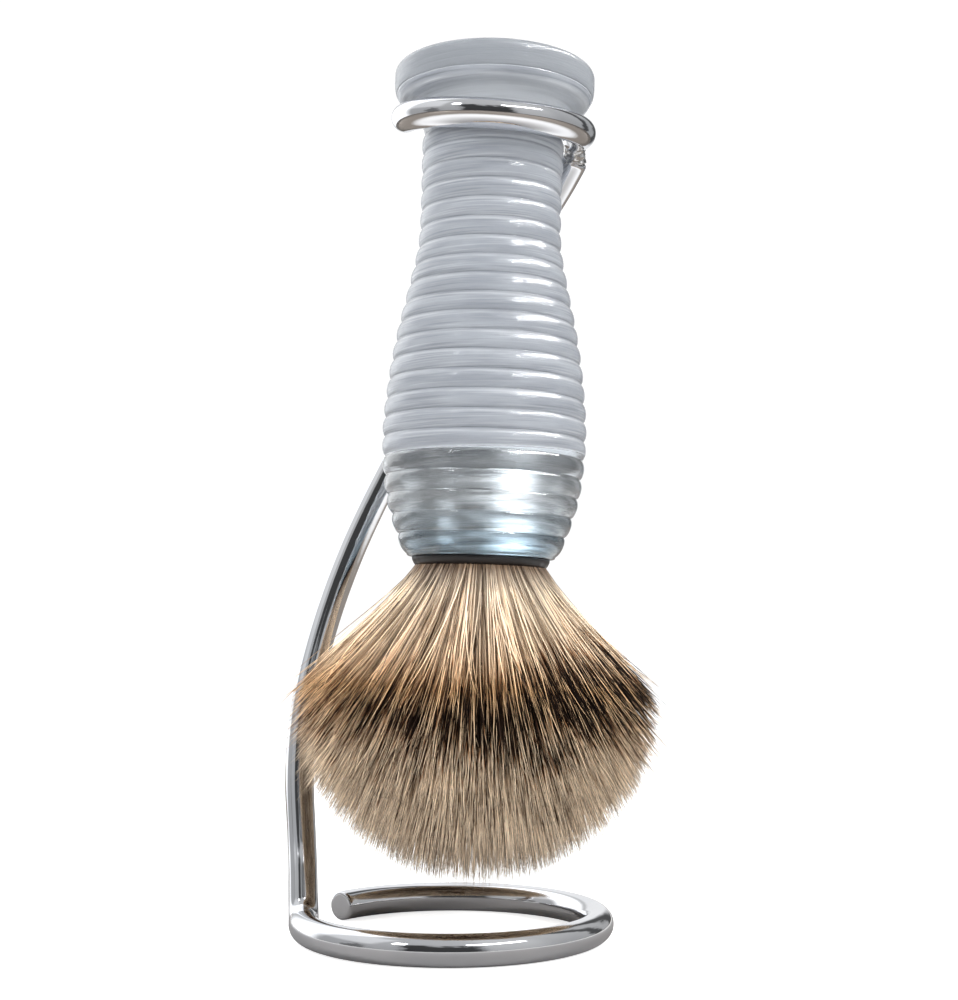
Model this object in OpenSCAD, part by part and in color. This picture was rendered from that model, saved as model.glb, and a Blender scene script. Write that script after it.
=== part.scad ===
// Shaving brush hanging by its neck in a bent-rod stand. Millimetres, +Z up.
// The origin is the middle of the footprint, on the surface that the stand rests on.
// X runs to the right and Y away from the viewer. The brush's own heights run up its axis.

/* [Stand] */
// Diameter of the rod that the whole stand is bent from
rod_d = 4.8; // [4.4:0.1:4.8]
// Radius of the base ring, to the rod's centre line
base_r = 23.4; // [23:0.1:24]
// Direction of the base ring's free end, in degrees from +X
base_end_angle = 144; // [120:1:150]
// Radius of the holder ring, to the rod's centre line
holder_r = 14.8; // [14.8:0.1:15.2]
// Height of the holder ring's centre
holder_z = 131.9; // [131.4:0.1:132]
// How far the holder ring leans down towards the viewer, in degrees
holder_pitch = 9.7; // [8:0.1:10]
// How far the holder ring leans down to the right, in degrees
holder_roll = 4.3; // [3:0.1:4.5]
// How much of a turn the holder ring makes, in degrees
holder_sweep = 190; // [180:1:195]

/* [Brush] */
// How far the hanging brush leans to the right, in degrees
lean = 1.7; // [1.5:0.1:1.8]
// Widest radius of the handle's belly
belly_r = 16.7; // [16:0.1:16.8]
// Radius of the handle's neck
neck_r = 11.8; // [11.5:0.1:11.8]
// Distance between the handle's beads
bead_pitch = 3.15; // [2.8:0.05:3.6]
// Depth of the groove between two beads
bead_depth = 0.55; // [0.3:0.05:0.7]
// Radius of the end cap
cap_r = 16.65; // [16.3:0.05:16.8]
// Thickness of the end cap
cap_h = 4.4; // [4:0.1:4.8]

/* [Knot] */
// Outer radius of the metal cup that holds the knot
cup_r = 10.9; // [10.6:0.1:11]
// Wall thickness of the metal cup
cup_wall = 0.8; // [0.6:0.1:0.9]
// Depth of the metal cup
cup_h = 16.5; // [15:0.5:17]
// Widest radius of the bristles
bloom_r = 28.5; // [27:0.1:28.6]
// Height of the lowest bristle tips above the surface
tip_z = 8.2; // [7.8:0.1:9.8]

/* [Hidden] */

chrome = [0.78, 0.78, 0.80];
frosted = [0.66, 0.68, 0.70];
steel = [0.70, 0.74, 0.76];
resin = [0.16, 0.14, 0.13];
hair = [0.62, 0.52, 0.40];
thread = [0.85, 0.80, 0.68];

// Stand
rod_sides = 18;
base_x = -2.3;
base_z = rod_d / 2;
base_step = 9;
post_steps = 4;
holder_x = 4.4;
holder_y = -0.3;
holder_end_angle = 22;
// The bend that turns the base ring up into the post, and the way the post leaves it.
bend_angle = -174;
bend_r = 4.5;
bend_steps = 6;
post_way = [-0.08, 0.4, 0.92];
// Points that the post passes through, from above the bend to its cut end.
post_points = [
    [-26.5, 3.8, 10.1],
    [-27, 6, 14.8],
    [-27.8, 9.2, 23.8],
    [-27.7, 12, 32.3],
    [-26.8, 14.8, 40.3],
    [-24.8, 17.6, 49.3],
    [-22, 19.8, 58.3],
    [-18.4, 21.2, 67.3],
    [-12.8, 22, 78.8],
    [-5.3, 22.2, 92.3],
    [2.4, 21.2, 104.8],
    [9.2, 18.2, 114.8],
    [12.9, 14.4, 120.6],
    [14.9, 12, 123.4],
    [16.6, 10.1, 125.9],
    [18.5, 7.8, 129]
];

// Brush. Its axis meets the ground at brush_x.
brush_x = 0.6;
mouth_s = 60.3;
shoulder_s = 130.3;
cap_s = 137;
bead_points = 6;
// Handle crests, each a height along the axis and a radius, mouth to neck.
crest_points = [
    [mouth_s, 12.5],
    [64.8, 14.3],
    [70.8, belly_r - 0.75],
    [79.8, belly_r],
    [88.8, belly_r - 0.6],
    [96.8, 14.9],
    [103.8, 13.4],
    [110.8, 12],
    [115.8, neck_r - 0.1],
    [shoulder_s, neck_r]
];
// The cove above the neck, where the brush rests on the holder ring.
cove_points = [
    [132.2, neck_r + 0.05],
    [133.3, neck_r + 0.35],
    [134.3, neck_r + 1.05],
    [135, neck_r + 2.1],
    [135.4, neck_r + 3.1],
    [136, neck_r + 3.9],
    [cap_s, cap_r - 0.4]
];
cap_edge = 0.9;
spigot_r = 5;
spigot_h = 6;
collar_drop = 1.5;
collar_h = 2.2;
root_r = 9.5;
root_h = 6;
thread_d = 0.55;
thread_turns = 5;
hair_mouth_r = 10.3;
bloom_s = 34.8;
smooth = 96;

function unit(v) = v / norm(v);
function tangent(p, i) = unit(p[min(i + 1, len(p) - 1)] - p[max(i - 1, 0)]);
function square_up(v, t) = unit(v - (v * t) * t);

// A smooth curve through points: u runs from 0 to 1 between points i and i + 1.
function slope(p, i) = (p[min(i + 1, len(p) - 1)] - p[max(i - 1, 0)]) / 2;
function hermite(a, b, ma, mb, u) =
    (2 * u ^ 3 - 3 * u ^ 2 + 1) * a + (u ^ 3 - 2 * u ^ 2 + u) * ma
    + (3 * u ^ 2 - 2 * u ^ 3) * b + (u ^ 3 - u ^ 2) * mb;
function curve(p, steps) = [
    for (i = [0:len(p) - 2], k = [0:steps - 1])
        hermite(p[i], p[i + 1], slope(p, i), slope(p, i + 1), k / steps),
    p[len(p) - 1]
];

// The same curve for a radius that changes with height.
function steepness(p, i) =
    let (a = p[max(i - 1, 0)], b = p[min(i + 1, len(p) - 1)]) (b[1] - a[1]) / (b[0] - a[0]);
function span(p, s, i = 0) = i >= len(p) - 2 || s < p[i + 1][0] ? i : span(p, s, i + 1);
function radius_at(p, s) =
    let (i = span(p, s), h = p[i + 1][0] - p[i][0])
        hermite(p[i][1], p[i + 1][1], steepness(p, i) * h, steepness(p, i + 1) * h,
                (s - p[i][0]) / h);

// A round rod swept along a path, as one closed mesh.
module rod(path, d, sides) {
    n = len(path);
    normals = [for (i = 0, u = square_up([0, 0, 1], tangent(path, 0)); i < n;
                    i = i + 1, u = square_up(u, tangent(path, min(i, n - 1)))) u];
    points = [for (i = [0:n - 1], k = [0:sides - 1])
                  let (t = tangent(path, i), u = normals[i], a = 360 * k / sides)
                      path[i] + d / 2 * (cos(a) * u + sin(a) * cross(t, u))];
    walls = [for (i = [0:n - 2], k = [0:sides - 1], half = [0, 1])
                 let (a = i * sides + k, b = i * sides + (k + 1) % sides)
                     half == 0 ? [a, a + sides, b + sides] : [a, b + sides, b]];
    near_end = [for (k = [0:sides - 1]) k];
    far_end = [for (k = [sides - 1:-1:0]) (n - 1) * sides + k];
    polyhedron(points, concat(walls, [near_end, far_end]), convexity = 6);
}

// Places a piece of the brush on its leaning axis.
module on_brush() {
    translate([brush_x, 0, 0]) rotate([0, lean, 0]) children();
}

// The base ring and the post are one rod: a flat ring, a tight bend, and a rising curve.
module stand_rod() {
    function on_ring(a) = [base_x + base_r * cos(a), base_r * sin(a), base_z];
    ring = [for (a = [base_end_angle:-base_step:bend_angle + 1]) on_ring(a)];
    ahead = [sin(bend_angle), -cos(bend_angle), 0];
    upward = square_up(post_way, ahead);
    turn = acos(ahead * unit(post_way));
    bend = [for (k = [0:bend_steps])
                let (a = turn * k / bend_steps)
                    on_ring(bend_angle) + bend_r * (sin(a) * ahead + (1 - cos(a)) * upward)];
    post = curve(concat([bend[bend_steps]], post_points), post_steps);
    later = [for (i = [1:len(post) - 1]) post[i]];
    color(chrome) rod(concat(ring, bend, later), rod_d, rod_sides);
}

module holder_ring() {
    color(chrome)
        translate([holder_x, holder_y, holder_z])
            rotate([holder_pitch, holder_roll, 0])
                rotate([0, 0, holder_end_angle - holder_sweep])
                    rotate_extrude(angle = holder_sweep, $fn = smooth)
                        translate([holder_r, 0]) circle(d = rod_d, $fn = 48);
}

// Brazing metal that necks in between the post's cut end and the ring above it.
module braze_joint() {
    neck = 1.6;
    spread = 2.2;
    height = 3.4;
    waist = [for (a = [0:15:180]) [spread - (spread - neck) * sin(a), height * a / 180]];
    color(chrome)
        translate(post_points[len(post_points) - 1] - [0, 0, 0.6])
            rotate([26, 0, 0]) {
                rotate_extrude($fn = 48) polygon(concat([[0, 0]], waist, [[0, height]]));
                translate([0.9, -0.5, 1.4]) sphere(r = 0.9, $fn = 32);
                translate([-1.1, -0.3, 0.9]) sphere(r = 0.8, $fn = 32);
            }
}

// Half-round beads with narrow grooves between them, as radius and height.
function beads(first, last) = [
    for (k = [0:floor((last - first) / bead_pitch) * bead_points])
        let (u = k / bead_points, s = first + u * bead_pitch)
            [radius_at(crest_points, s) - bead_depth * (1 - sqrt(abs(sin(180 * u)))), s]
];

module handle() {
    outline = beads(mouth_s + 0.4, shoulder_s);
    cove = [for (p = cove_points) [p[1], p[0]]];
    foot = [[0, mouth_s], [outline[0][0] - 0.5, mouth_s]];
    color(frosted)
        on_brush()
            difference() {
                rotate_extrude($fn = smooth) polygon(concat(foot, outline, cove, [[0, cap_s]]));
                translate([0, 0, mouth_s - 1]) cylinder(r = cup_r, h = cup_h + 1, $fn = smooth);
                translate([0, 0, cap_s - spigot_h])
                    cylinder(r = spigot_r, h = spigot_h + 1, $fn = smooth);
            }
}

module end_cap() {
    top = cap_s + cap_h;
    edge = [for (a = [0:15:90]) [cap_r - cap_edge * (1 - cos(a)), top - cap_edge * (1 - sin(a))]];
    side = [[0, cap_s], [cap_r - 0.35, cap_s], [cap_r, cap_s + 1.6]];
    color(frosted)
        on_brush() {
            rotate_extrude($fn = smooth) polygon(concat(side, edge, [[0, top]]));
            translate([0, 0, cap_s - spigot_h])
                cylinder(r = spigot_r, h = spigot_h + 0.5, $fn = smooth);
        }
}

module ferrule_cup() {
    color(steel)
        on_brush()
            difference() {
                translate([0, 0, mouth_s]) cylinder(r = cup_r, h = cup_h, $fn = smooth);
                translate([0, 0, mouth_s - 1])
                    cylinder(r = cup_r - cup_wall, h = cup_h - cup_wall + 1, $fn = smooth);
            }
}

// The resin that the hair roots are set in. It fills the cup down to the root binding.
module knot_plug() {
    bottom = mouth_s + collar_h + thread_turns * thread_d;
    top = mouth_s + cup_h - cup_wall;
    color(resin)
        on_brush()
            difference() {
                translate([0, 0, bottom])
                    cylinder(r = cup_r - cup_wall, h = top - bottom, $fn = smooth);
                translate([0, 0, bottom - 1])
                    cylinder(r = root_r, h = root_h - thread_turns * thread_d + 1, $fn = smooth);
            }
}

// The string wound round the roots, turn above turn.
module binding_thread() {
    color(thread)
        on_brush()
            for (i = [0:thread_turns - 1])
                translate([0, 0, mouth_s + collar_h + (i + 0.5) * thread_d])
                    rotate_extrude($fn = smooth)
                        translate([root_r + thread_d / 2, 0]) circle(d = thread_d, $fn = 24);
}

// The dark ring at the mouth: a lip below the handle and a spigot inside the cup.
module knot_collar() {
    inner = hair_mouth_r;
    spigot = cup_r - cup_wall;
    lip = cup_r + 0.3;
    lip_s = mouth_s - collar_drop;
    color(resin)
        on_brush()
            rotate_extrude($fn = smooth)
                polygon([[inner, lip_s], [inner + 0.3, lip_s], [lip, mouth_s - 0.6],
                         [lip, mouth_s], [spigot, mouth_s], [spigot, mouth_s + collar_h],
                         [root_r, mouth_s + collar_h], [root_r, mouth_s + 0.2],
                         [inner, mouth_s - 0.6]]);
}

// The whole bunch of hair: roots in the collar, a flare, a rounded shoulder and a dome of tips.
module bristles() {
    flare = [for (u = [0:0.1:1])
                 (1 - u) ^ 2 * [hair_mouth_r, mouth_s - collar_drop]
                 + 2 * u * (1 - u) * [hair_mouth_r + 0.6, mouth_s - 5.5]
                 + u ^ 2 * [bloom_r - 0.8, bloom_s + 2.8]];
    dome = [for (t = [0:0.1:0.9])
                [bloom_r * (1 - t ^ 1.7) ^ 0.52, bloom_s - t * (bloom_s - tip_z)]];
    root_top = mouth_s + collar_h + root_h;
    root = [[0, root_top], [root_r, root_top], [root_r, mouth_s + 0.2],
            [hair_mouth_r, mouth_s - 0.6]];
    color(hair)
        on_brush()
            rotate_extrude($fn = smooth) polygon(concat(root, flare, dome, [[0, tip_z]]));
}

stand_rod();
holder_ring();
braze_joint();
handle();
end_cap();
ferrule_cup();
knot_plug();
binding_thread();
knot_collar();
bristles();
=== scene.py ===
"""A shaving brush that hangs by its neck in the ring of a chrome wire stand."""

import math

import bmesh
import bpy
import numpy as np
from mathutils import Euler, Matrix, Vector, kdtree, noise


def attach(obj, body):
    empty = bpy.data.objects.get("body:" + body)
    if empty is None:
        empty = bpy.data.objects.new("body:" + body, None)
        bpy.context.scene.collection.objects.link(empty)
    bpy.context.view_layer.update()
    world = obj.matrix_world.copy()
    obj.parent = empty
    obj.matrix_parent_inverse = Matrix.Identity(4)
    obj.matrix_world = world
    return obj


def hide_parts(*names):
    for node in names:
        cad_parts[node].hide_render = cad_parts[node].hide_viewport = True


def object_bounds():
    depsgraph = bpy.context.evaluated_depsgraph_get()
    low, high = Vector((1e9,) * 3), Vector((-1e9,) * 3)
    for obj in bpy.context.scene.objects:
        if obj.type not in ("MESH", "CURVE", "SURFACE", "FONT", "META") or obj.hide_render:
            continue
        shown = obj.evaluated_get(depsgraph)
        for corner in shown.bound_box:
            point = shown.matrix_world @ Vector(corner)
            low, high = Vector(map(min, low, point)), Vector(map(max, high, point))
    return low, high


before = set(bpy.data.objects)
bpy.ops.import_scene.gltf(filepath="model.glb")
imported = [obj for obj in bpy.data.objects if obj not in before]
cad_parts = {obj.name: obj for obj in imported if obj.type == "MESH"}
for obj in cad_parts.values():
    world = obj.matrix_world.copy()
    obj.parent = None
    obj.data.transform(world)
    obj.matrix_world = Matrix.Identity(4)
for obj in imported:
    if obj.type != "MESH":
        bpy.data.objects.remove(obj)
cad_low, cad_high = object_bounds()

MM = 0.001

# ------------------------------------------------------------------ dimensions, in millimetres
ROD_R = 2.4
BASE_X, BASE_R, BASE_Z = -2.3, 23.4, 2.4
BASE_START, BASE_STOP = 144, -174
BEND_R, POST_WAY = 4.5, (-0.08, 0.4, 0.92)
POST = [
    (-26.5, 3.8, 10.1), (-27.0, 6.0, 14.8), (-27.8, 9.2, 23.8), (-27.7, 12.0, 32.3),
    (-26.8, 14.8, 40.3), (-24.8, 17.6, 49.3), (-22.0, 19.8, 58.3), (-18.4, 21.2, 67.3),
    (-12.8, 22.0, 78.8), (-5.3, 22.2, 92.3), (2.4, 21.2, 104.8), (9.2, 18.2, 114.8),
    (12.9, 14.4, 120.6), (14.9, 12.0, 123.4), (16.6, 10.1, 125.9), (18.5, 7.8, 129.0),
]
HOLDER_CENTRE, HOLDER_R = (4.4, -0.3, 131.9), 14.8
HOLDER_TILT = (math.radians(9.7), math.radians(4.3), 0)
HOLDER_START, HOLDER_STOP = -168, 22

BRUSH_X, LEAN = 0.6, 1.7
MOUTH, SHOULDER, CAP = 60.3, 130.3, 137.0
BEAD_PITCH, BEAD_DEPTH = 3.15, 0.55
CRESTS = [
    (60.3, 12.5), (64.8, 14.3), (70.8, 15.95), (79.8, 16.7), (88.8, 16.1), (96.8, 14.9),
    (103.8, 13.4), (110.8, 12.0), (115.8, 11.7), (130.3, 11.8),
]
COVE = [
    (132.2, 11.85), (133.3, 12.15), (134.3, 12.85), (135.0, 13.9), (135.4, 14.9),
    (136.0, 15.7), (137.0, 16.25),
]
CAP_R, CAP_H, CAP_EDGE = 16.65, 4.4, 1.2
CUP_R, CUP_WALL, CUP_H = 10.9, 0.8, 16.5
ROOT_R, HAIR_MOUTH_R = 9.5, 10.3
BLOOM_R, BLOOM_S, TIP_S = 30.3, 34.8, 7.4
WIRE_GAP, LIFTS = 0.8, (0, 4, 8, 12, 16)
POST_SIDE_X, RADIUS_AT_POST = -12, 24   # where the hair can meet the post
ROD_SIDES, ROD_STEP, HOLDER_FILLET = 44, 0.7, 0.7
BRAZE_NECK, BRAZE_SPREAD, BRAZE_HEIGHT = 1.75, 2.35, 3.4
BRAZE_DROP, BRAZE_TILT, BRAZE_SIDES = 0.6, 26, 40
CUP_LAP, CORE_SHARE, BEAD_STEPS = 0.3, 0.66, 12
SHELL_SIDES, CUP_SIDES, CORE_SIDES, MASS_SIDES = 160, 128, 96, 120

# ------------------------------------------------------------------ camera, lamps and sky
CAMERA_AT, CAMERA_PITCH, LENS = (0.0021, -0.252, 0.0478), 4.98, 55.8
AIM = (0, 0, 0.07)
LAMPS = (
    # name, place, size, watts
    ("key_right", (0.7, -0.45, 0.5), (0.25, 0.45), 5.2),
    ("fill_left", (-0.8, -0.5, 0.35), (0.3, 0.5), 5.0),
    ("front_low", (0.05, -0.8, 0.02), (0.9, 0.25), 4.0),
    ("rim_left", (-0.6, 0.6, 0.35), (0.3, 0.5), 2.6),
    ("rim_right", (0.6, 0.6, 0.35), (0.3, 0.5), 2.2),
    ("top", (0, 0.1, 1.0), (0.7, 0.7), 1.0),
)
STRIP = ("strip_right", (0.61, -0.13, 0.72), (1.04, 0.12), 14.0)
DARK_AREAS = (
    # azimuth, elevation, half width, half height, share of the light that is left
    (-6, 8, 28, 30, 0.12), (-68, -10, 8, 26, 0.4), (122, 20, 8, 70, 0.2), (155, 0, 9, 80, 0.2),
)
DARK_SOFTNESS = 6
BRIGHT_AREAS = (
    # azimuth, elevation, half width, half height, softness, added light, the rays that see it
    (40, 46, 26, 3, 1.5, 7.0, "shine"), (-42, 44, 5, 4, 2, 12.0, "shine"),
    (-84, 44, 26, 18, 5, 0.3, "shine"), (50, 16, 22, 64, 12, 0.1, "shine"),
    (58, 16, 32, 70, 18, 13.0, "resin"), (-132, 20, 24, 60, 8, 1.1, "shine"),
    (180, 8, 16, 60, 6, 0.5, "shine"),
)
RAGGED_AZIMUTH, RAGGED_ELEVATION = 26, -34
DEGREES_PER_RADIAN = 57.2958
FLOOR_R, FLOOR_GLOW, BACKDROP = 3.0, 0.7, 1.05

# From the brush's own axis, which leans, to the frame.
on_brush = Matrix.Translation((BRUSH_X, 0, 0)) @ Matrix.Rotation(math.radians(LEAN), 4, "Y")


# ------------------------------------------------------------------ curves
def hermite(a, b, ma, mb, u):
    return ((2 * u**3 - 3 * u**2 + 1) * a + (u**3 - 2 * u**2 + u) * ma
            + (3 * u**2 - 2 * u**3) * b + (u**3 - u**2) * mb)


def smooth_path(points, steps):
    """A curve through the points, with even steps between each pair."""
    p = [np.array(q, float) for q in points]
    last = len(p) - 1
    slope = [(p[min(i + 1, last)] - p[max(i - 1, 0)]) / 2 for i in range(last + 1)]
    out = [hermite(p[i], p[i + 1], slope[i], slope[i + 1], k / steps)
           for i in range(last) for k in range(steps)]
    return np.array(out + [p[last]])


def radius_at(points, s):
    """A smooth radius that changes with the height s."""
    last = len(points) - 1
    i = max([k for k in range(last) if points[k][0] <= s] + [0])

    def steepness(k):
        a, b = points[max(k - 1, 0)], points[min(k + 1, last)]
        return (b[1] - a[1]) / (b[0] - a[0])

    h = points[i + 1][0] - points[i][0]
    return hermite(points[i][1], points[i + 1][1], steepness(i) * h, steepness(i + 1) * h,
                   (s - points[i][0]) / h)


def resample(path, step):
    """The same path with points an even distance apart."""
    lengths = np.r_[0, np.cumsum(np.linalg.norm(np.diff(path, axis=0), axis=1))]
    count = max(2, int(lengths[-1] / step) + 1)
    at = np.linspace(0, lengths[-1], count)
    return np.stack([np.interp(at, lengths, path[:, k]) for k in range(3)], 1)


# ------------------------------------------------------------------ mesh makers
def add_piece(name, mesh, material, body):
    obj = bpy.data.objects.new(name, mesh)
    bpy.context.scene.collection.objects.link(obj)
    mesh.materials.clear()
    mesh.materials.append(material)
    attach(obj, body)
    return obj


def solid_mesh(name, verts, faces, matrix=Matrix.Identity(4)):
    """A smooth-shaded mesh from millimetre points."""
    bm = bmesh.new()
    made = [bm.verts.new(matrix @ Vector(v) * MM) for v in verts]
    for f in faces:
        bm.faces.new([made[k] for k in f])
    bmesh.ops.recalc_face_normals(bm, faces=bm.faces)
    for f in bm.faces:
        f.smooth = True
    mesh = bpy.data.meshes.new(name)
    bm.to_mesh(mesh)
    bm.free()
    return mesh


def tube(name, path, radius, sides, fillet=0.5, matrix=Matrix.Identity(4)):
    """A round rod along the path, with rounded rims at its two cut ends."""
    n = len(path)
    tangents = np.gradient(path, axis=0)
    tangents /= np.linalg.norm(tangents, axis=1)[:, None]
    u = np.cross(tangents[0], (0.3, 0.2, 1.0))
    u /= np.linalg.norm(u)
    rings = []
    for i in range(n):
        t = tangents[i]
        u = u - t * u.dot(t)
        u /= np.linalg.norm(u)
        rings.append((path[i], t, u, radius))
    bends = [(radius - fillet + fillet * math.cos(b), fillet - fillet * math.sin(b))
             for b in np.radians([90, 68, 45, 22])]
    first, final = rings[0], rings[-1]
    inset = int(fillet / np.linalg.norm(path[1] - path[0])) + 1
    start = [(first[0] + first[1] * off, first[1], first[2], r) for r, off in bends]
    stop = [(final[0] - final[1] * off, final[1], final[2], r) for r, off in bends[::-1]]
    flat = radius - fillet
    start = [(first[0], first[1], first[2], flat * k) for k in (0.45, 0.94)] + start
    stop = stop + [(final[0], final[1], final[2], flat * k) for k in (0.94, 0.45)]
    rings = start + rings[inset:-inset] + stop
    verts, faces = [], []
    for centre, t, u, r in rings:
        v = np.cross(t, u)
        for k in range(sides):
            a = 2 * math.pi * k / sides
            verts.append(centre + r * (math.cos(a) * u + math.sin(a) * v))
    for i in range(len(rings) - 1):
        for k in range(sides):
            m = (k + 1) % sides
            faces.append((i * sides + k, i * sides + m, (i + 1) * sides + m, (i + 1) * sides + k))
    for ring, centre in ((0, first[0]), (len(rings) - 1, final[0])):
        verts.append(centre)
        for k in range(sides):
            faces.append((ring * sides + k, ring * sides + (k + 1) % sides, len(verts) - 1))
    return solid_mesh(name, verts, faces, matrix)


def lathe(name, profile, sides, matrix=Matrix.Identity(4), wobble=None):
    """A closed turned solid from (radius, height) points that start and end on the axis, or make a loop."""
    on_axis = profile[0][0] == 0
    verts, faces, rings = [], [], []
    for r, s in profile:
        if r == 0:
            rings.append([len(verts)] * sides)
            verts.append((0, 0, s))
            continue
        rings.append(list(range(len(verts), len(verts) + sides)))
        for k in range(sides):
            a = 2 * math.pi * k / sides
            grow = wobble(a, s, r) if wobble else 0
            verts.append(((r + grow) * math.cos(a), (r + grow) * math.sin(a), s))
    pairs = list(zip(rings, rings[1:]))
    if not on_axis:
        pairs.append((rings[-1], rings[0]))
    for low, high in pairs:
        for k in range(sides):
            m = (k + 1) % sides
            corners = list(dict.fromkeys((low[k], low[m], high[m], high[k])))
            if len(corners) > 2:
                faces.append(corners)
    return solid_mesh(name, verts, faces, matrix)


# ------------------------------------------------------------------ node helpers
class Nodes:
    """Short calls that add nodes to one material or world."""

    def __init__(self, tree):
        self.tree = tree

    def add(self, kind, settings=None, **inputs):
        made = self.tree.nodes.new(kind)
        for key, value in (settings or {}).items():
            setattr(made, key, value)
        for key, value in inputs.items():
            self.feed(made.inputs[key.replace("_", " ")], value)
        return made

    def feed(self, socket, value):
        if isinstance(value, bpy.types.NodeSocket):
            self.tree.links.new(value, socket)
        else:
            socket.default_value = value

    def math(self, operation, a, b=0.0, c=0.0, clamp=False):
        made = self.tree.nodes.new("ShaderNodeMath")
        made.operation, made.use_clamp = operation, clamp
        for socket, value in zip(made.inputs, (a, b, c)):
            self.feed(socket, value)
        return made.outputs[0]

    def ease(self, value, low, high, to_low=0.0, to_high=1.0):
        made = self.tree.nodes.new("ShaderNodeMapRange")
        made.interpolation_type = "SMOOTHSTEP"
        for socket, v in zip(made.inputs, (value, low, high, to_low, to_high)):
            self.feed(socket, v)
        return made.outputs[0]

    def mix(self, factor, a, b, blend="MIX"):
        made = self.tree.nodes.new("ShaderNodeMix")
        made.data_type, made.blend_type = "RGBA", blend
        self.feed(made.inputs[0], factor)
        self.feed(made.inputs[6], a)
        self.feed(made.inputs[7], b)
        return made.outputs[2]

    def ramp(self, value, stops):
        made = self.tree.nodes.new("ShaderNodeValToRGB")
        self.feed(made.inputs[0], value)
        elements = made.color_ramp.elements
        while len(elements) < len(stops):
            elements.new(0.5)
        for element, (at, colour) in zip(elements, stops):
            element.position, element.color = at, colour
        return made.outputs[0]

    def noise(self, vector, scale, detail=3.0, rough=0.5):
        made = self.tree.nodes.new("ShaderNodeTexNoise")
        self.feed(made.inputs["Vector"], vector)
        made.inputs["Scale"].default_value = scale
        made.inputs["Detail"].default_value = detail
        made.inputs["Roughness"].default_value = rough
        return made.outputs[0]

    def bump(self, height, strength, distance):
        made = self.tree.nodes.new("ShaderNodeBump")
        made.inputs["Strength"].default_value = strength
        made.inputs["Distance"].default_value = distance
        self.feed(made.inputs["Height"], height)
        return made.outputs[0]

    def attribute(self, name):
        made = self.tree.nodes.new("ShaderNodeAttribute")
        made.attribute_name = name
        return made.outputs["Fac"]

    def place(self):
        return self.tree.nodes.new("ShaderNodeTexCoord").outputs["Object"]

    def stretched(self, scale):
        """Object coordinates, scaled along each axis."""
        made = self.tree.nodes.new("ShaderNodeMapping")
        self.feed(made.inputs["Vector"], self.place())
        made.inputs["Scale"].default_value = scale
        return made.outputs[0]


def srgb(r, g, b):
    """A linear colour from a 0 to 255 screen colour."""
    def linear(c):
        c /= 255
        return c / 12.92 if c <= 0.04045 else ((c + 0.055) / 1.055) ** 2.4
    return (linear(r), linear(g), linear(b), 1)


def material(name, **values):
    made = bpy.data.materials.new(name)
    made.use_nodes = True
    shader = made.node_tree.nodes["Principled BSDF"]
    for key, value in values.items():
        shader.inputs[key.replace("_", " ")].default_value = value
    return made, Nodes(made.node_tree), shader


# ------------------------------------------------------------------ materials
def make_chrome():
    made, n, shader = material("polished_chrome", Metallic=1.0)
    smudge = n.noise(n.place(), 55, 4)
    n.feed(shader.inputs["Base Color"],
           n.ramp(smudge, [(0.3, srgb(222, 224, 228)), (0.7, srgb(240, 240, 242))]))
    n.feed(shader.inputs["Roughness"], n.ease(n.noise(n.place(), 160, 5), 0.3, 0.75, 0.025, 0.075))
    n.feed(shader.inputs["Normal"], n.bump(n.noise(n.place(), 420, 2), 0.12, 0.0001))
    return made


def make_braze():
    made, n, shader = material("braze_metal", Metallic=1.0)
    blotch = n.noise(n.place(), 900, 4)
    n.feed(shader.inputs["Base Color"],
           n.ramp(blotch, [(0.35, srgb(170, 168, 166)), (0.65, srgb(232, 232, 232))]))
    n.feed(shader.inputs["Roughness"], n.ease(blotch, 0.3, 0.7, 0.08, 0.3))
    n.feed(shader.inputs["Normal"], n.bump(n.noise(n.place(), 900, 3), 0.3, 0.0002))
    return made


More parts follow.
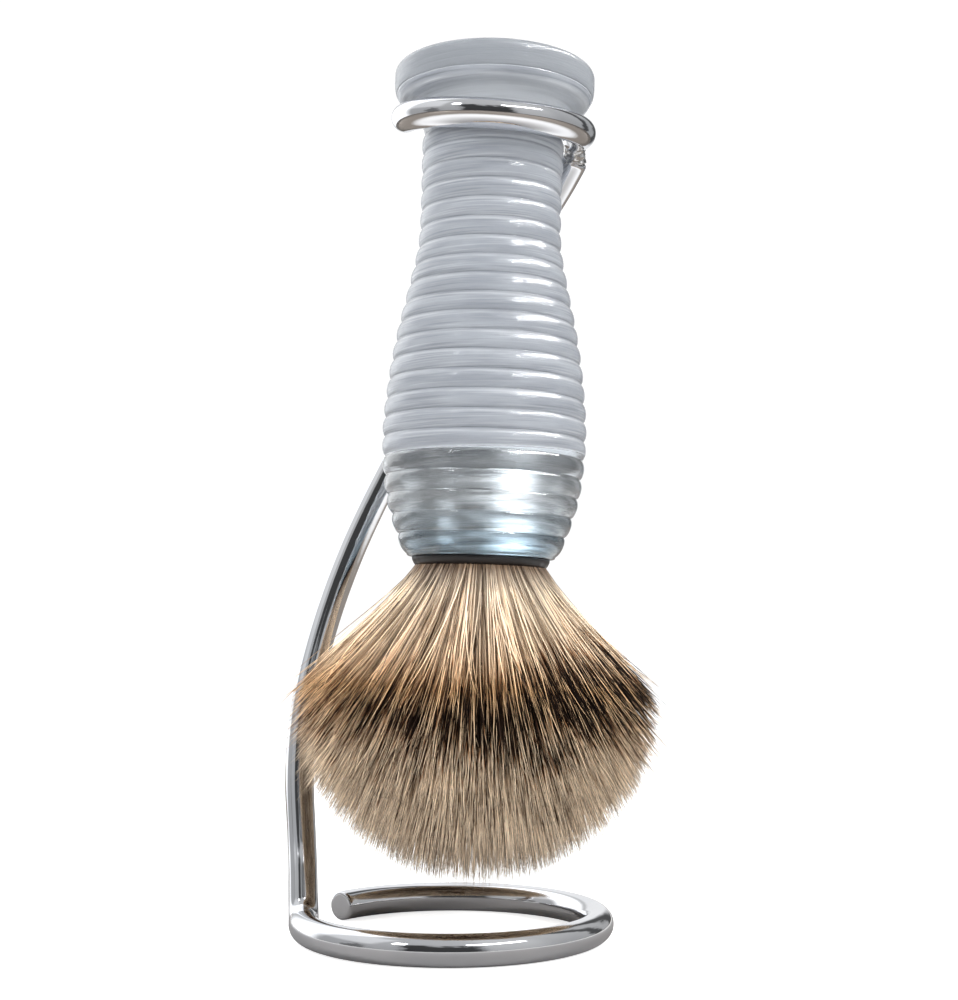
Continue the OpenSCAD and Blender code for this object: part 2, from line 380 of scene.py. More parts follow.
def make_resin(name, plain, clear_below=None):
    """Cast resin: milky grey, and clear where it is over the knot cup. Lamps light what is inside it."""
    made, n, shader = material(name, IOR=1.49, Specular_IOR_Level=0.2, Coat_Weight=0.65, Coat_Roughness=0.03,
                               Subsurface_Weight=0.7, Subsurface_Radius=(1, 1, 1), Subsurface_Scale=0.0018)
    wisp = n.noise(n.stretched((90, 90, 700)), 1.0, 4)
    grey = n.ramp(wisp, [(0.3, srgb(139, 143, 150)), (0.7, srgb(161, 165, 171))])
    line = n.noise(n.stretched((60, 60, 4200)), 1.0, 2)
    grey = n.mix(n.ease(line, 0.55, 0.68, 0.0, 0.4), grey, srgb(104, 108, 113))
    grey = n.mix(n.ease(line, 0.30, 0.42, 0.3, 0.0), grey, srgb(206, 208, 211))
    grey = n.mix(plain, grey, srgb(136, 140, 145))
    split = n.add("ShaderNodeSeparateXYZ", Vector=n.place())
    turned = n.noise(n.stretched((22, 22, 3200)), 1.0, 3)
    if clear_below:
        # Height along the brush, counted in beads: a groove at each whole number.
        along = n.add("ShaderNodeVectorMath", {"operation": "DOT_PRODUCT"})
        n.feed(along.inputs[0], n.place())
        along.inputs[1].default_value = on_brush.to_3x3() @ Vector((0, 0, 1 / MM))
        first = MOUTH + 0.4 + BRUSH_X * math.sin(math.radians(LEAN))
        beads_up = n.math("DIVIDE", n.math("SUBTRACT", along.outputs["Value"], first), BEAD_PITCH)
        bead = n.math("FRACT", beads_up)
        from_groove = n.math("ABSOLUTE", n.math("SUBTRACT", n.math("FRACT", n.math("ADD", bead, 0.5)), 0.5))
        from_ridge = n.math("ABSOLUTE", n.math("SUBTRACT", bead, 0.82))
        broken = n.noise(n.stretched((130, 130, 900)), 1.0, 2)
        groove = n.math("MULTIPLY", n.ease(from_groove, 0.0, 0.075, 1.0, 0.0),
                        n.ease(broken, 0.35, 0.6, 0.35, 1.0))
        ridge = n.math("MULTIPLY", n.ease(from_ridge, 0.0, 0.1, 1.0, 0.0),
                       n.ease(broken, 0.4, 0.65, 1.0, 0.25))
        # Painted shade darkens each groove, and a painted highlight lightens a line near the top of each
        # bead; noise breaks both up.
        grey = n.mix(n.math("MULTIPLY", groove, 0.5), grey, srgb(100, 104, 110))
        grey = n.mix(n.math("MULTIPLY", ridge, 0.32), grey, srgb(214, 216, 219))
        z = split.outputs[2]
        # Painted light: the flare just below the cap is painted lighter.
        flare_light = n.math("MULTIPLY", n.ease(z, (SHOULDER - 1) * MM, (SHOULDER + 3) * MM, 0.0, 0.5),
                       n.ease(z, (CAP - 2.6) * MM, (CAP - 1) * MM, 1.0, 0.0))
        grey = n.mix(flare_light, grey, srgb(214, 217, 220))
        over_cup = n.ease(z, clear_below - 0.4 * MM, clear_below + 0.4 * MM, 1.0, 0.0)
        tint = n.ramp(n.math("DIVIDE", z, 100 * MM),
                      [(0.61, srgb(180, 208, 224)), (0.69, srgb(230, 234, 237))])
        grey = n.mix(over_cup, grey, tint)
        high = n.ease(z, (SHOULDER - 5) * MM, SHOULDER * MM, 0.14, 0.02)
        n.feed(shader.inputs["Transmission Weight"], n.ease(over_cup, 0.0, 1.0, high, 0.93))
    n.feed(shader.inputs["Base Color"], grey)
    wave = n.noise(n.stretched((170, 170, 700)), 1.0, 4, 0.6)
    fine = n.noise(n.place(), 1500, 2)
    rough = n.ease(fine, 0.3, 0.7, 0.42, 0.54)
    if clear_below:
        rough = n.ease(over_cup, 0.0, 1.0, rough, 0.1)
    n.feed(shader.inputs["Roughness"], rough)
    relief = n.math("MULTIPLY_ADD", turned, 0.35, wave)
    n.feed(shader.inputs["Normal"], n.bump(relief, 0.35, 0.0003))
    chips = n.noise(n.stretched((500, 500, 2600)), 1.0, 3, 0.6)
    ragged_relief = n.math("MULTIPLY_ADD", chips, 0.55, relief)
    n.feed(shader.inputs["Coat Normal"], n.bump(ragged_relief, 0.4, 0.0003))
    see = n.add("ShaderNodeBsdfTransparent", Color=(0.86, 0.88, 0.9, 1))
    both = n.add("ShaderNodeMixShader")
    n.feed(both.inputs[0], n.add("ShaderNodeLightPath").outputs["Is Shadow Ray"])
    n.feed(both.inputs[1], shader.outputs[0])
    n.feed(both.inputs[2], see.outputs[0])
    n.feed(made.node_tree.nodes["Material Output"].inputs["Surface"], both.outputs[0])
    return made


def make_milky():
    made, n, shader = material("milky_core", Roughness=0.55, Specular_IOR_Level=0.2)
    wisp = n.noise(n.stretched((140, 140, 520)), 1.0, 4)
    n.feed(shader.inputs["Base Color"],
           n.ramp(wisp, [(0.3, srgb(206, 210, 214)), (0.7, srgb(222, 225, 228))]))
    n.feed(shader.inputs["Normal"], n.bump(wisp, 0.2, 0.0003))
    return made


def make_cup_metal():
    made, n, shader = material("spun_steel", Metallic=1.0)
    turned = n.noise(n.stretched((50, 50, 3000)), 1.0, 4, 0.6)
    n.feed(shader.inputs["Base Color"],
           n.ramp(turned, [(0.36, srgb(98, 101, 104)), (0.5, srgb(134, 137, 139)),
                           (0.64, srgb(178, 180, 181))]))
    n.feed(shader.inputs["Roughness"], n.ease(turned, 0.3, 0.7, 0.26, 0.4))
    n.feed(shader.inputs["Normal"], n.bump(turned, 0.25, 0.0001))
    return made


def make_collar():
    made, n, shader = material("dark_resin", IOR=1.5)
    speck = n.noise(n.place(), 900, 4)
    n.feed(shader.inputs["Base Color"],
           n.ramp(speck, [(0.35, srgb(15, 12, 12)), (0.7, srgb(28, 24, 23))]))
    n.feed(shader.inputs["Roughness"], n.ease(speck, 0.3, 0.7, 0.3, 0.5))
    n.feed(shader.inputs["Normal"], n.bump(speck, 0.2, 0.0001))
    return made


def make_thread():
    made, n, shader = material("binding_string", Roughness=0.85)
    strand = n.add("ShaderNodeTexWave", {"bands_direction": "DIAGONAL"}, Scale=1400.0, Distortion=1.5)
    n.feed(strand.inputs["Vector"], n.place())
    n.feed(shader.inputs["Base Color"],
           n.ramp(strand.outputs[0], [(0.2, srgb(188, 172, 140)), (0.8, srgb(222, 210, 182))]))
    n.feed(shader.inputs["Normal"], n.bump(strand.outputs[0], 0.5, 0.0001))
    return made


def make_hair():
    """Badger hair: a cream root, a dark band and a pale tip. Heights are millimetres up the brush."""
    made, n, shader = material("badger_hair", Roughness=0.3, Specular_IOR_Level=0.7)
    height, from_tip = n.attribute("height"), n.attribute("from_tip")
    shade, lift = n.attribute("shade"), n.attribute("lift")
    clump, lock = n.attribute("clump"), n.attribute("lock")
    shift = n.math("MULTIPLY_ADD", clump, 6.0, -3.0)
    sideways = n.add("ShaderNodeSeparateXYZ", Vector=n.place()).outputs[0]
    slant = n.math("MULTIPLY_ADD", sideways, 190.0, shift)
    band_top = n.math("ADD", n.math("MULTIPLY_ADD", lift, 7.0, 35.8), slant)
    tip_length = n.math("MULTIPLY_ADD", shade, 5.0, 4.0)
    near_tip = n.ease(n.math("SUBTRACT", from_tip, tip_length), -1.5, 2.0, 1.0, 0.0)
    low_edge = n.math("ADD", n.math("MULTIPLY_ADD", lift, 6.0, 21.6), n.math("MULTIPLY", clump, 7.0))
    low_edge = n.math("MULTIPLY_ADD", n.math("ABSOLUTE", sideways), 170.0, low_edge)
    low = n.ease(n.math("SUBTRACT", height, low_edge), -2.0, 2.5, 1.0, 0.0)
    past_tip = n.math("SUBTRACT", 1.0, n.math("MULTIPLY", near_tip, low))
    under_top = n.ease(n.math("SUBTRACT", height, band_top), -1.5, 3.5, 1.0, 0.0)
    odd = n.ease(n.math("FRACT", n.math("MULTIPLY", shade, 37.0)), 0.15, 0.18)
    odd = n.math("MULTIPLY", odd, n.ease(n.math("FRACT", n.math("MULTIPLY", lock, 13.0)), 0.11, 0.13))
    dark = n.math("MULTIPLY", n.math("MULTIPLY", past_tip, under_top), odd)
    along = n.math("DIVIDE", height, MOUTH)
    # The pale colour darkens to brown at the very root, by the mouth: painted shade under the collar.
    pale = n.ramp(along, [
        (0.13, srgb(234, 216, 192)), (0.50, srgb(214, 194, 168)), (0.66, srgb(206, 168, 124)),
        (0.77, srgb(232, 210, 182)), (0.90, srgb(232, 216, 194)), (0.97, srgb(120, 100, 82))])
    band = n.mix(lift, srgb(14, 10, 10), srgb(50, 37, 30))
    brown = n.mix(shade, srgb(122, 82, 50), srgb(170, 122, 80))
    colour = n.mix(n.ease(dark, 0.0, 0.5), pale, brown)
    colour = n.mix(n.ease(dark, 0.35, 0.9), colour, band)
    tone = n.ramp(n.math("FRACT", n.math("MULTIPLY", shade, 11.0)),
                  [(0.0, (0.12, 0.08, 0.06, 1)), (0.25, (0.52, 0.45, 0.39, 1)), (0.65, (1.0, 0.98, 0.96, 1)),
                   (1.0, (1.6, 1.6, 1.6, 1))])
    tone = n.mix(odd, (1.45, 1.42, 1.38, 1), tone)
    colour = n.mix(1.0, colour, tone, "MULTIPLY")
    tuft_tone = n.ramp(n.math("FRACT", n.math("MULTIPLY", lock, 5.0)),
                       [(0.0, (0.42, 0.38, 0.34, 1)), (0.4, (0.95, 0.95, 0.95, 1)),
                        (1.0, (1.25, 1.25, 1.25, 1))])
    n.feed(shader.inputs["Base Color"], n.mix(1.0, colour, tuft_tone, "MULTIPLY"))
    n.feed(shader.inputs["Specular IOR Level"], n.ease(dark, 0.2, 0.9, 0.7, 0.12))
    return made


def make_shaded_hair_mass():
    """The hair below the outer layer, seen only in the gaps between strands, and mostly painted darker than
    the outer hairs: painted shade in those gaps.
    """
    made, n, shader = material("inner_hair_shade", Roughness=0.8, Specular_IOR_Level=0.1)
    streak = n.noise(n.stretched((1500, 1500, 60)), 1.0, 4)
    split = n.add("ShaderNodeSeparateXYZ", Vector=n.place())
    height = n.math("DIVIDE", split.outputs[2], 62 * MM)
    # Painted shade: browns darker than the outer hairs, for the shade deep among the hairs.
    tone = n.ramp(height, [
        (0.2, srgb(96, 78, 62)), (0.4, srgb(60, 46, 38)), (0.66, srgb(62, 46, 36)),
        (0.78, srgb(150, 124, 94)), (0.93, srgb(140, 116, 90))])
    strands = n.ramp(streak, [(0.3, (0.5, 0.5, 0.5, 1)), (0.7, (1.15, 1.1, 1.05, 1))])
    n.feed(shader.inputs["Base Color"], n.mix(1.0, tone, strands, "MULTIPLY"))
    n.feed(shader.inputs["Normal"], n.bump(streak, 0.8, 0.0004))
    return made


chrome = make_chrome()
resin = make_resin("ribbed_resin", 0.0, (MOUTH + CUP_H) * MM)
cap_resin = make_resin("cap_resin", 0.75)
milky = make_milky()

# ------------------------------------------------------------------ stand
ring_angles = np.radians(np.arange(BASE_START, BASE_STOP - 0.1, -3.0))
base_ring = np.stack([BASE_X + BASE_R * np.cos(ring_angles), BASE_R * np.sin(ring_angles),
                      np.full_like(ring_angles, BASE_Z)], 1)
last_angle = math.radians(BASE_STOP)
ahead = np.array([math.sin(last_angle), -math.cos(last_angle), 0])
leaving = np.array(POST_WAY) / np.linalg.norm(POST_WAY)
upward = leaving - leaving.dot(ahead) * ahead
upward /= np.linalg.norm(upward)
bend_angles = np.linspace(0, math.acos(leaving.dot(ahead)), 12)[1:, None]
bend = base_ring[-1] + BEND_R * (np.sin(bend_angles) * ahead + (1 - np.cos(bend_angles)) * upward)
post_path = smooth_path([bend[-1]] + POST, 12)
rod_path = resample(np.vstack([base_ring, bend, post_path[1:]]), ROD_STEP)
rod = add_piece("stand_wire", tube("stand_wire", rod_path, ROD_R, ROD_SIDES), chrome, "stand")
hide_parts("stand_rod")

holder_at = Matrix.Translation(HOLDER_CENTRE) @ Euler(HOLDER_TILT, "XYZ").to_matrix().to_4x4()
holder_angles = np.radians(np.linspace(HOLDER_START, HOLDER_STOP, 96))
holder_path = HOLDER_R * np.stack([np.cos(holder_angles), np.sin(holder_angles),
                                   np.zeros_like(holder_angles)], 1)
holder = add_piece("neck_ring", tube("neck_ring", holder_path, ROD_R, ROD_SIDES, HOLDER_FILLET, holder_at),
                   chrome, "stand")
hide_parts("holder_ring")


def make_braze_joint():
    """Brazing metal that flowed between the post's cut end and the ring."""
    waist = [(BRAZE_SPREAD - (BRAZE_SPREAD - BRAZE_NECK) * math.sin(math.radians(a)), BRAZE_HEIGHT * a / 180)
             for a in range(0, 181, 10)]
    at = Matrix.Translation(Vector(POST[-1]) - Vector((0, 0, BRAZE_DROP)))
    at = at @ Matrix.Rotation(math.radians(BRAZE_TILT), 4, "X")

    def lumps(a, s, r):
        return 0.32 * noise.noise(Vector((math.cos(a) * 1.4, math.sin(a) * 1.4, s * 1.1))) \
            + 0.16 * noise.noise(Vector((math.cos(a) * 4, math.sin(a) * 4, s * 3)))

    profile = [(0, 0)] + [(BRAZE_SPREAD * k, 0) for k in (0.4, 0.8)] + waist[1:-1] \
        + [(BRAZE_SPREAD * k, BRAZE_HEIGHT) for k in (0.8, 0.4)] + [(0, BRAZE_HEIGHT)]
    return lathe("braze_fillet", profile, BRAZE_SIDES, at, lumps)


braze = add_piece("braze_fillet", make_braze_joint(), make_braze(), "stand")
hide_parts("braze_joint")


# ------------------------------------------------------------------ handle
def bead_outline():
    """Half-round beads with narrow grooves, as (radius, height)."""
    first = MOUTH + 0.4
    count = int((SHOULDER - first) / BEAD_PITCH)
    start = math.radians(22)
    out = []
    for bead in range(count):
        for k in range(BEAD_STEPS):
            a = start + (math.pi - 2 * start) * k / BEAD_STEPS
            u = (1 - math.cos(a) / math.cos(start)) / 2
            rise = (math.sin(a) - math.sin(start)) / (1 - math.sin(start))
            s = first + (bead + u) * BEAD_PITCH
            out.append((radius_at(CRESTS, s) - BEAD_DEPTH * (1 - rise), s))
    s = first + count * BEAD_PITCH
    out.append((radius_at(CRESTS, s) - BEAD_DEPTH, s))
    return out


bore = CUP_R - CUP_LAP
floor_s = MOUTH + CUP_H - 0.4
outline = bead_outline()
top_s = CAP - 0.06
cove = smooth_path([(r, s, 0) for s, r in COVE], 4)[:, :2].tolist()
cove = [(r, min(s, top_s)) for r, s in cove]
shell_profile = (
    [(0, floor_s), (bore * 0.5, floor_s), (bore, floor_s), (bore, MOUTH + 6)]
    + [(bore, MOUTH), (11.3, MOUTH)]
    + [(outline[0][0] - 0.35, MOUTH), (outline[0][0] - 0.08, MOUTH + 0.12)]
    + outline + cove
    + [(8, top_s), (0, top_s)])
shell = add_piece("handle_shell", lathe("handle_shell", shell_profile, SHELL_SIDES, on_brush), resin,
                  "brush")
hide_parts("handle")

core_s = np.linspace(MOUTH + CUP_H + 0.15, SHOULDER, 40)
core_profile = [(0, core_s[0])] + [(CORE_SHARE * radius_at(CRESTS, s), s) for s in core_s]
core_profile += [(CORE_SHARE * r, s) for r, s in ((13.4, CAP - 3.2), (15.6, CAP - 1.2), (16.2, top_s - 0.15))]
core_profile.append((0, top_s - 0.15))
add_piece("handle_core", lathe("handle_core", core_profile, CORE_SIDES, on_brush), milky,
          "brush")

edge = [(CAP_R - CAP_EDGE * (1 - math.cos(a)), CAP + CAP_H - CAP_EDGE * (1 - math.sin(a)))
        for a in np.radians(np.arange(0, 91, 11.25))]
cap_profile = [(0, CAP), (8, CAP), (CAP_R - 0.4, CAP), (CAP_R - 0.25, CAP + 0.2),
               (CAP_R - 0.08, CAP + 0.8), (CAP_R, CAP + 1.6)]
cap_profile += edge + [(8, CAP + CAP_H), (0, CAP + CAP_H)]
cap = add_piece("cap_shell", lathe("cap_shell", cap_profile, SHELL_SIDES, on_brush), cap_resin,
                "brush")
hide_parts("end_cap")

inner_r, inner_top = CUP_R - CUP_WALL, MOUTH + CUP_H - CUP_WALL
cup_profile = [(0, inner_top), (inner_r, inner_top), (inner_r, MOUTH + 8), (inner_r, MOUTH),
               (CUP_R + 0.42, MOUTH), (CUP_R + 0.16, MOUTH + 0.8), (CUP_R, MOUTH + 2), (CUP_R, MOUTH + 8),
               (CUP_R, MOUTH + CUP_H - 0.4), (CUP_R - 0.12, MOUTH + CUP_H - 0.1),
               (CUP_R - 0.4, MOUTH + CUP_H), (5, MOUTH + CUP_H), (0, MOUTH + CUP_H)]
cup = add_piece("knot_cup", lathe("knot_cup", cup_profile, CUP_SIDES, on_brush), make_cup_metal(),
                "brush")
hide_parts("ferrule_cup")

lip_r, lip_s = CUP_R + 0.3, MOUTH - 1.5
collar_profile = [(HAIR_MOUTH_R, lip_s), (HAIR_MOUTH_R + 0.3, lip_s), (HAIR_MOUTH_R + 0.6, lip_s + 0.4),
                  (lip_r, MOUTH - 0.5), (lip_r, MOUTH - 0.02), (inner_r, MOUTH - 0.02),
                  (inner_r, MOUTH + 2.2),
                  (ROOT_R, MOUTH + 2.2), (ROOT_R, MOUTH + 0.2), (HAIR_MOUTH_R, MOUTH - 0.6)]
collar = add_piece("mouth_collar", lathe("mouth_collar", collar_profile, CUP_SIDES, on_brush), make_collar(),
                   "brush")
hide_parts("knot_collar")
for node, finish in (("knot_plug", make_collar()), ("binding_thread", make_thread())):
    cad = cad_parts[node]
    cad.data.materials.clear()
    cad.data.materials.append(finish)


# ------------------------------------------------------------------ hair
HAIRS, PIECES, RINGS = 20000, 5, 9
DOME_SHARE = 0.66                       # these end on the dome, and the others on its rim and fringe
SHORT_SHARE, LONG_SHARE, STRAY_SHARE = 0.09, 0.08, 0.09
THIN_R, SWELL_R = 0.070, 0.034
TUFTS = ((420, 0.24), (3000, 0.38))     # how many, and how far the hairs lean together
MAP_COLUMNS, MAP_ROWS = 512, 8
rng = np.random.default_rng(20)


def tip_place(q):
    """Radius and height of the tips: a dome up to q = 1, and the upper fringe beyond it."""
    dome_s = BLOOM_S - (BLOOM_S - TIP_S) * (1 - np.minimum(q, 1) ** 1.923) ** (1 / 1.7)
    w = np.maximum(q - 1, 0) / 0.15
    return BLOOM_R * np.minimum(q, 1) - 0.8 * w - 3.4 * w**2, dome_s + 6.0 * w


def keep_off_wire(points, ramp):
    """Draw in any hair that would come within WIRE_GAP of the wire at one of the LIFTS of the brush."""
    wire = kdtree.KDTree(len(rod_path))
    for k, at in enumerate(rod_path):
        wire.insert(at, k)
    wire.balance()
    turned = np.array(on_brush.to_3x3()).T
    for lift in LIFTS:
        placed = points @ turned + np.array(on_brush.translation) + (0, 0, lift)
        near = placed[..., 0] < POST_SIDE_X
        near[:, :RINGS // 2] = False
        for hair in np.flatnonzero(near.any(1)):
            gap = min(wire.find(at)[2] for at in placed[hair, RINGS // 2:]) - ROD_R
            if gap < WIRE_GAP:
                points[hair, :, :2] *= 1 - (WIRE_GAP - gap) / RADIUS_AT_POST * ramp[0, :, None]


def make_hairs():
    """The points of each hair from root to tip, and one random number for each size of tuft it is in."""
    layer = rng.random(HAIRS)
    spread = rng.random(HAIRS)
    q = np.where(layer < DOME_SHARE, spread**0.42, 0.84 + 0.30 * spread)
    angle = rng.random(HAIRS) * 2 * np.pi
    root_q = np.clip(q * 0.93 + rng.normal(0, 0.02, HAIRS), 0, 0.985)
    tip_r, tip_s = tip_place(q)
    shrink = 1 - np.abs(rng.normal(0, 1, HAIRS)) * np.where(q > 0.9, 0.034, 0.016)
    shrink -= (rng.random(HAIRS) < SHORT_SHARE) * rng.random(HAIRS) * 0.22
    shrink += np.where(rng.random(HAIRS) < LONG_SHARE, 0.03, 0)
    root = np.stack([ROOT_R * 0.99 * root_q, np.full(HAIRS, MOUTH + 1.1)], 1)
    tip = np.stack([tip_r, tip_s], 1)
    slope = np.radians(44 * np.minimum(q, 1.1) ** 1.6 + rng.normal(0, 7, HAIRS))
    reach = 6.5 + 4 * (1 - np.minimum(q, 1))
    near_tip = tip + np.stack([-np.sin(slope) * reach, np.cos(slope) * reach], 1)
    near_root = root + np.stack([1.45 * q**2, np.full(HAIRS, -5.6)], 1)
    t = np.linspace(0, 1, RINGS)[None, :, None] * shrink[:, None, None]
    flat = ((1 - t) ** 3 * root[:, None] + 3 * (1 - t) ** 2 * t * near_root[:, None]
            + 3 * (1 - t) * t**2 * near_tip[:, None] + t**3 * tip[:, None])
    turn = angle[:, None] + rng.normal(0, 0.07, HAIRS)[:, None] * t[:, :, 0]
    points = np.stack([flat[..., 0] * np.cos(turn), flat[..., 0] * np.sin(turn), flat[..., 1]], 2)
    # Tufts: hairs lean together towards their tips, in large tufts and then in small ones.
    flat_x, flat_y = q * np.cos(angle), q * np.sin(angle)
    ramp = np.linspace(0, 1, RINGS)[None, :]
    tufts = []
    for count, most in TUFTS:
        seeds = rng.choice(HAIRS, count, replace=False)
        tree = kdtree.KDTree(count)
        for k, i in enumerate(seeds):
            tree.insert((flat_x[i], flat_y[i], 0), k)
        tree.balance()
        group = np.array([tree.find((a, b, 0))[1] for a, b in zip(flat_x, flat_y)])
        tufts.append(rng.random(count)[group])
        aside = points[seeds[group]] - points
        aside[..., 2] *= 0.2
        points += aside * (most * rng.random(HAIRS)[:, None] * ramp**1.6)[..., None]
    # Each hair waves a little, and a few stray across the others.
    phase = rng.random((HAIRS, 3)) * 2 * np.pi
    stray = (rng.random(HAIRS) < STRAY_SHARE) & (q > 0.6)
    swing = np.abs(rng.normal(0, 0.66, HAIRS)) + stray * 2.1
    for k in range(3):
        wave = np.sin(ramp * (2.6 + 1.8 * k) + phase[:, k:k + 1]) - np.sin(phase[:, k:k + 1])
        points[..., k] += swing[:, None] * wave * ramp * (0.7 if k < 2 else 0.2)
    keep_off_wire(points, ramp)
    return points, tufts


def hair_piece(name, points, marks, finish):
    """One mesh of closed three-sided hairs, with its own map for baking."""
    count = len(points)
    steps = np.diff(points, axis=1)
    from_tip = np.zeros(points.shape[:2])
    from_tip[:, :-1] = np.cumsum(np.linalg.norm(steps, axis=2)[:, ::-1], 1)[:, ::-1]
    tangent = np.gradient(points, axis=1)
    tangent /= np.linalg.norm(tangent, axis=2)[..., None]
    side = np.cross(tangent, (0.31, 0.17, 0.93))
    side /= np.linalg.norm(side, axis=2)[..., None] + 1e-9
    other = np.cross(tangent, side)
    along = np.linspace(0, 1, RINGS)
    thick = THIN_R + SWELL_R * np.sin(np.pi * np.minimum(along * 1.15, 1))
    thick = thick * np.where(along > 0.72, 1 - 0.62 * ((along - 0.72) / 0.28), 1)
    thick = thick[None, :] * (0.72 + 0.6 * marks["lift"] ** 2)[:, None]
    rings = [points + thick[..., None] * (math.cos(a) * side + math.sin(a) * other)
             for a in (0.3, 0.3 + 2 * math.pi / 3, 0.3 + 4 * math.pi / 3)]
    body = np.stack(rings, 2)[:, :-1]                    # count, RINGS - 1, 3 corners, xyz
    per = (RINGS - 1) * 3 + 1
    verts = np.concatenate([body.reshape(count, -1, 3), points[:, -1:]], 1).reshape(-1, 3)
    placed = verts @ np.array(on_brush.to_3x3()).T + np.array(on_brush.translation)
    quads = [(r * 3 + c, r * 3 + (c + 1) % 3, r * 3 + 3 + (c + 1) % 3, r * 3 + 3 + c)
             for r in range(RINGS - 2) for c in range(3)]
    last = (RINGS - 2) * 3
    tris = [(last + c, last + (c + 1) % 3, per - 1) for c in range(3)] + [(2, 1, 0)]
    pattern = np.array([k for f in quads for k in f] + [k for f in tris for k in f])
    sizes = np.array([4] * len(quads) + [3] * len(tris))
    loops = (pattern[None] + np.arange(count)[:, None] * per).ravel()
    totals = np.tile(sizes, count)
    mesh = bpy.data.meshes.new(name)
    mesh.vertices.add(len(placed))
    mesh.vertices.foreach_set("co", (placed * MM).astype(np.float32).ravel())
    mesh.loops.add(len(loops))
    mesh.loops.foreach_set("vertex_index", loops.astype(np.int32))
    mesh.polygons.add(len(totals))
    mesh.polygons.foreach_set("loop_start", np.r_[0, np.cumsum(totals)[:-1]].astype(np.int32))
    mesh.update(calc_edges=True)
    mesh.validate()
    mesh.polygons.foreach_set("use_smooth", np.ones(len(totals), bool))
    # One narrow strip of the map for each hair.
    hair = np.arange(count)[:, None]
    ring_of = np.minimum(pattern // 3, RINGS - 1)[None]
    corner = (pattern % 3)[None]
    across = (hair % MAP_COLUMNS + 0.2 + 0.3 * corner) / MAP_COLUMNS
    up = (hair // MAP_COLUMNS + 0.03 + 0.94 * along[ring_of]) / MAP_ROWS
    layer = mesh.uv_layers.new(name="OFBake")
    layer.data.foreach_set("uv", np.stack(np.broadcast_arrays(across, up), -1).astype(np.float32).ravel())
    levels = {key: np.repeat(value[:, None], RINGS, 1) for key, value in marks.items()}
    levels.update(height=points[..., 2], from_tip=from_tip)
    for key, values in levels.items():
        each = np.concatenate([np.repeat(values[:, :-1], 3, 1), values[:, -1:]], 1)
        made = mesh.attributes.new(key, "FLOAT", "POINT")
        made.data.foreach_set("value", each.astype(np.float32).ravel())
    return add_piece(name, mesh, finish, "brush")


hair_points, (clumps, locks) = make_hairs()
hair_marks = {"shade": rng.random(HAIRS), "lift": rng.random(HAIRS), "clump": clumps, "lock": locks}
hair_finish = make_hair()
for k in range(PIECES):
    some = slice(k, None, PIECES)
    hair_piece(f"hair_{k + 1}", hair_points[some],
               {key: value[some] for key, value in hair_marks.items()}, hair_finish)

MASS = [(0, 61.2), (9.2, 61.2), (9.7, 59.3), (10.0, 57.4), (11.2, 54.4), (14.8, 49.2), (18.8, 44.2),
        (21.0, 40.2), (22.2, 35.8), (22.0, 30.8), (20.2, 24.8), (16.6, 20.0), (11.4, 16.8),
        (6.0, 15.4), (0, 15.0)]
mass_curve = smooth_path([(r, s, 0) for r, s in MASS[1:-1]], 5)[:, :2].tolist()


def mass_wobble(a, s, r):
    return 0.5 * noise.noise(Vector((r * math.cos(a) * 0.35, r * math.sin(a) * 0.35, s * 0.05)))


mass_profile = [MASS[0]] + mass_curve + [MASS[-1]]
mass = add_piece("hair_inner", lathe("hair_inner", mass_profile, MASS_SIDES, on_brush, mass_wobble),
                 make_shaded_hair_mass(), "brush")
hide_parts("bristles")

# ------------------------------------------------------------------ floor, light and camera
bpy.ops.mesh.primitive_circle_add(vertices=96, radius=FLOOR_R, fill_type="NGON", location=(0, 0, cad_low.z))
floor = bpy.context.object
floor.name = "floor"
floor_finish, n, floor_shader = material("pale_floor", Roughness=0.7, Specular_IOR_Level=0.1)
path = n.add("ShaderNodeLightPath")
# Reflections see a floor with painted shade: grey near the object, pale further out and dim beyond that.
away = n.add("ShaderNodeVectorMath", {"operation": "LENGTH"})
n.feed(away.inputs[0], n.place())
reflected_floor_shade = n.mix(n.ease(away.outputs["Value"], 0.03, 0.16), srgb(162, 160, 159), srgb(242, 241, 240))
reflected_floor_shade = n.mix(n.ease(away.outputs["Value"], 0.18, 0.3), reflected_floor_shade, srgb(134, 126, 118))
grain = n.noise(n.place(), 30, 3)
near_white = n.ramp(grain, [(0.3, srgb(226, 226, 226)), (0.7, srgb(232, 232, 232))])
n.feed(floor_shader.inputs["Base Color"], n.mix(path.outputs["Is Glossy Ray"], near_white, reflected_floor_shade))
lit = n.add("ShaderNodeEmission", Color=(1, 1, 1, 1))
n.feed(lit.inputs["Strength"], n.math("MULTIPLY", path.outputs["Is Camera Ray"], FLOOR_GLOW))
summed = n.add("ShaderNodeAddShader")
n.feed(summed.inputs[0], floor_shader.outputs[0])
n.feed(summed.inputs[1], lit.outputs[0])
n.feed(floor_finish.node_tree.nodes["Material Output"].inputs["Surface"], summed.outputs[0])
floor.data.materials.append(floor_finish)

world = bpy.data.worlds.new("studio")
bpy.context.scene.world = world
world.use_nodes = True
world.node_tree.nodes.clear()
n = Nodes(world.node_tree)
# The camera sees a plain white backdrop. All other rays see a sky with soft bright and dark areas.
way = n.add("ShaderNodeSeparateXYZ", Vector=n.add("ShaderNodeTexCoord").outputs["Generated"])
east, north, up = way.outputs
azimuth = n.math("ARCTAN2", east, n.math("MULTIPLY", north, -1.0))
azimuth = n.math("MULTIPLY", azimuth, DEGREES_PER_RADIAN)
elevation = n.math("MULTIPLY", n.math("ARCSINE", up), DEGREES_PER_RADIAN)
ragged = n.noise(n.add("ShaderNodeTexCoord").outputs["Generated"], 5.0, 3)
azimuth_off = n.math("MULTIPLY_ADD", n.math("SUBTRACT", ragged, 0.5), RAGGED_AZIMUTH, azimuth)
elevation_off = n.math("MULTIPLY_ADD", n.math("SUBTRACT", ragged, 0.5), RAGGED_ELEVATION, elevation)


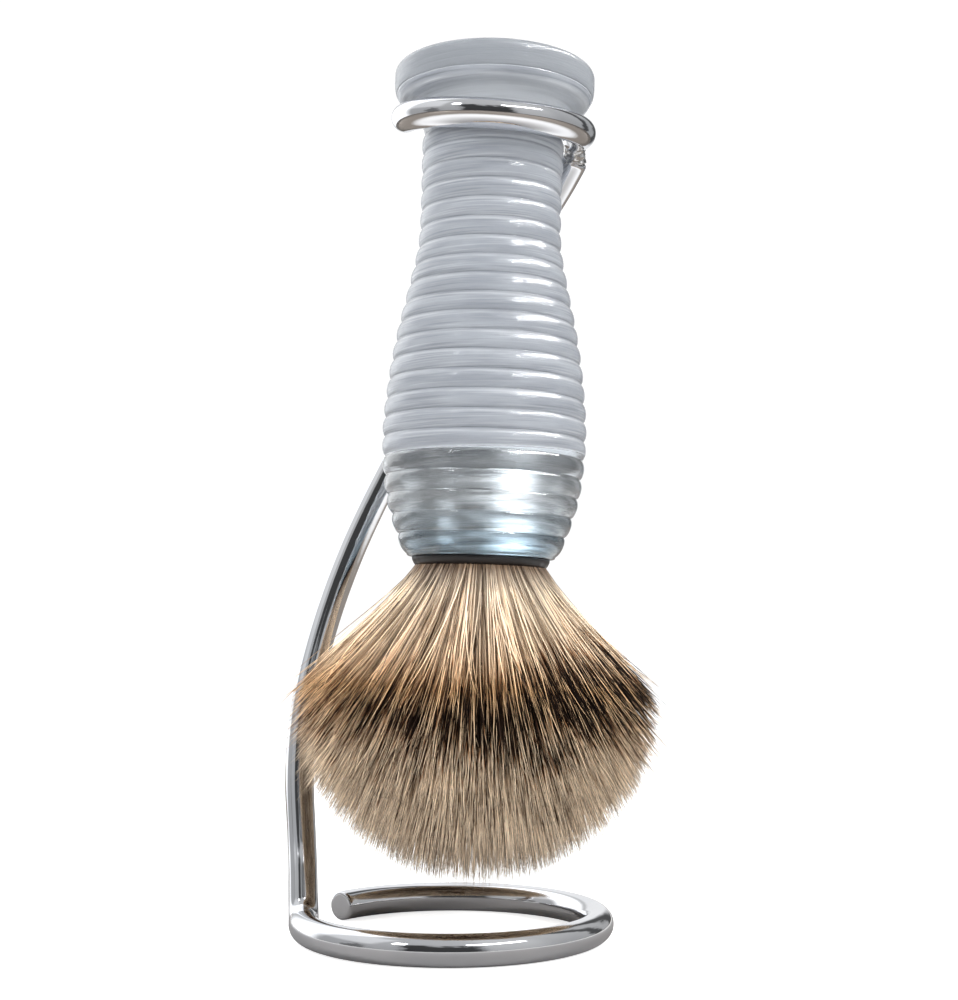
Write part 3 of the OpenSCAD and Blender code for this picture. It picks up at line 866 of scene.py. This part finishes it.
def window(az, el, half_az, half_el, soft, rough=False):
    """1 inside a soft-edged window of the sky and 0 outside. Azimuth 0 is the camera's side, 90 its right."""
    across, above = (azimuth_off, elevation_off) if rough else (azimuth, elevation)
    off = n.math("ABSOLUTE", n.math("WRAP", n.math("SUBTRACT", across, az), 180.0, -180.0))
    rise = n.math("ABSOLUTE", n.math("SUBTRACT", above, el))
    return n.math("MULTIPLY", n.ease(off, half_az - soft, half_az + soft, 1.0, 0.0),
                  n.ease(rise, half_el - soft, half_el + soft, 1.0, 0.0))


# The sky is a little brighter overhead than at the horizon.
level = n.ease(elevation, -10.0, 70.0, 0.40, 0.56)
for az, el, half_az, half_el, keep in DARK_AREAS:
    dark = window(az, el, half_az, half_el, DARK_SOFTNESS, True)
    level = n.math("MULTIPLY", level, n.ease(dark, 0.0, 1.0, 1.0, keep))
kind = n.add("ShaderNodeLightPath").outputs
seen_by = {"shine": n.math("SUBTRACT", 1.0, kind["Is Diffuse Ray"]), "resin": kind["Is Transmission Ray"]}
for az, el, half_az, half_el, soft, gain, rays in BRIGHT_AREAS:
    bright = n.math("MULTIPLY", window(az, el, half_az, half_el, soft), seen_by[rays])
    level = n.math("MULTIPLY_ADD", bright, gain, level)
studio = n.add("ShaderNodeBackground", Color=(0.98, 0.99, 1.0, 1))
n.feed(studio.inputs["Strength"], level)
plain = n.add("ShaderNodeBackground", Color=(1, 1, 1, 1), Strength=BACKDROP)
pick = n.add("ShaderNodeMixShader")
n.feed(pick.inputs[0], n.add("ShaderNodeLightPath").outputs["Is Camera Ray"])
n.feed(pick.inputs[1], studio.outputs[0])
n.feed(pick.inputs[2], plain.outputs[0])
n.feed(n.add("ShaderNodeOutputWorld").inputs["Surface"], pick.outputs[0])


def softbox(name, place, size, power):
    """An area lamp, aimed at the object, that reflections don't show."""
    lamp = bpy.data.lights.new(name, "AREA")
    lamp.shape, lamp.size, lamp.size_y, lamp.energy = "RECTANGLE", size[0], size[1], power
    obj = bpy.data.objects.new(name, lamp)
    bpy.context.scene.collection.objects.link(obj)
    obj.visible_glossy = False
    obj.location = place
    obj.rotation_euler = (Vector(AIM) - Vector(place)).to_track_quat("-Z", "Y").to_euler()
    return obj


for lamp_facts in LAMPS:
    softbox(*lamp_facts)
# A strip that only the resin's gloss sees, for the broken highlight on each bead.
strip = softbox(*STRIP)
strip.visible_glossy = True
strip.visible_diffuse = strip.visible_transmission = False
glossy_resin = bpy.data.collections.new("glossy_resin")
glossy_resin.objects.link(shell)
glossy_resin.objects.link(cap)
strip.light_linking.receiver_collection = glossy_resin

lens = bpy.data.cameras.new("camera")
lens.lens, lens.sensor_width = LENS, 36
lens.clip_start, lens.clip_end = 0.01, 20
camera = bpy.data.objects.new("camera", lens)
bpy.context.scene.collection.objects.link(camera)
camera.location = CAMERA_AT
camera.rotation_euler = (math.radians(90 + CAMERA_PITCH), 0, 0)
bpy.context.scene.camera = camera
bpy.context.scene.view_settings.view_transform = "Standard"
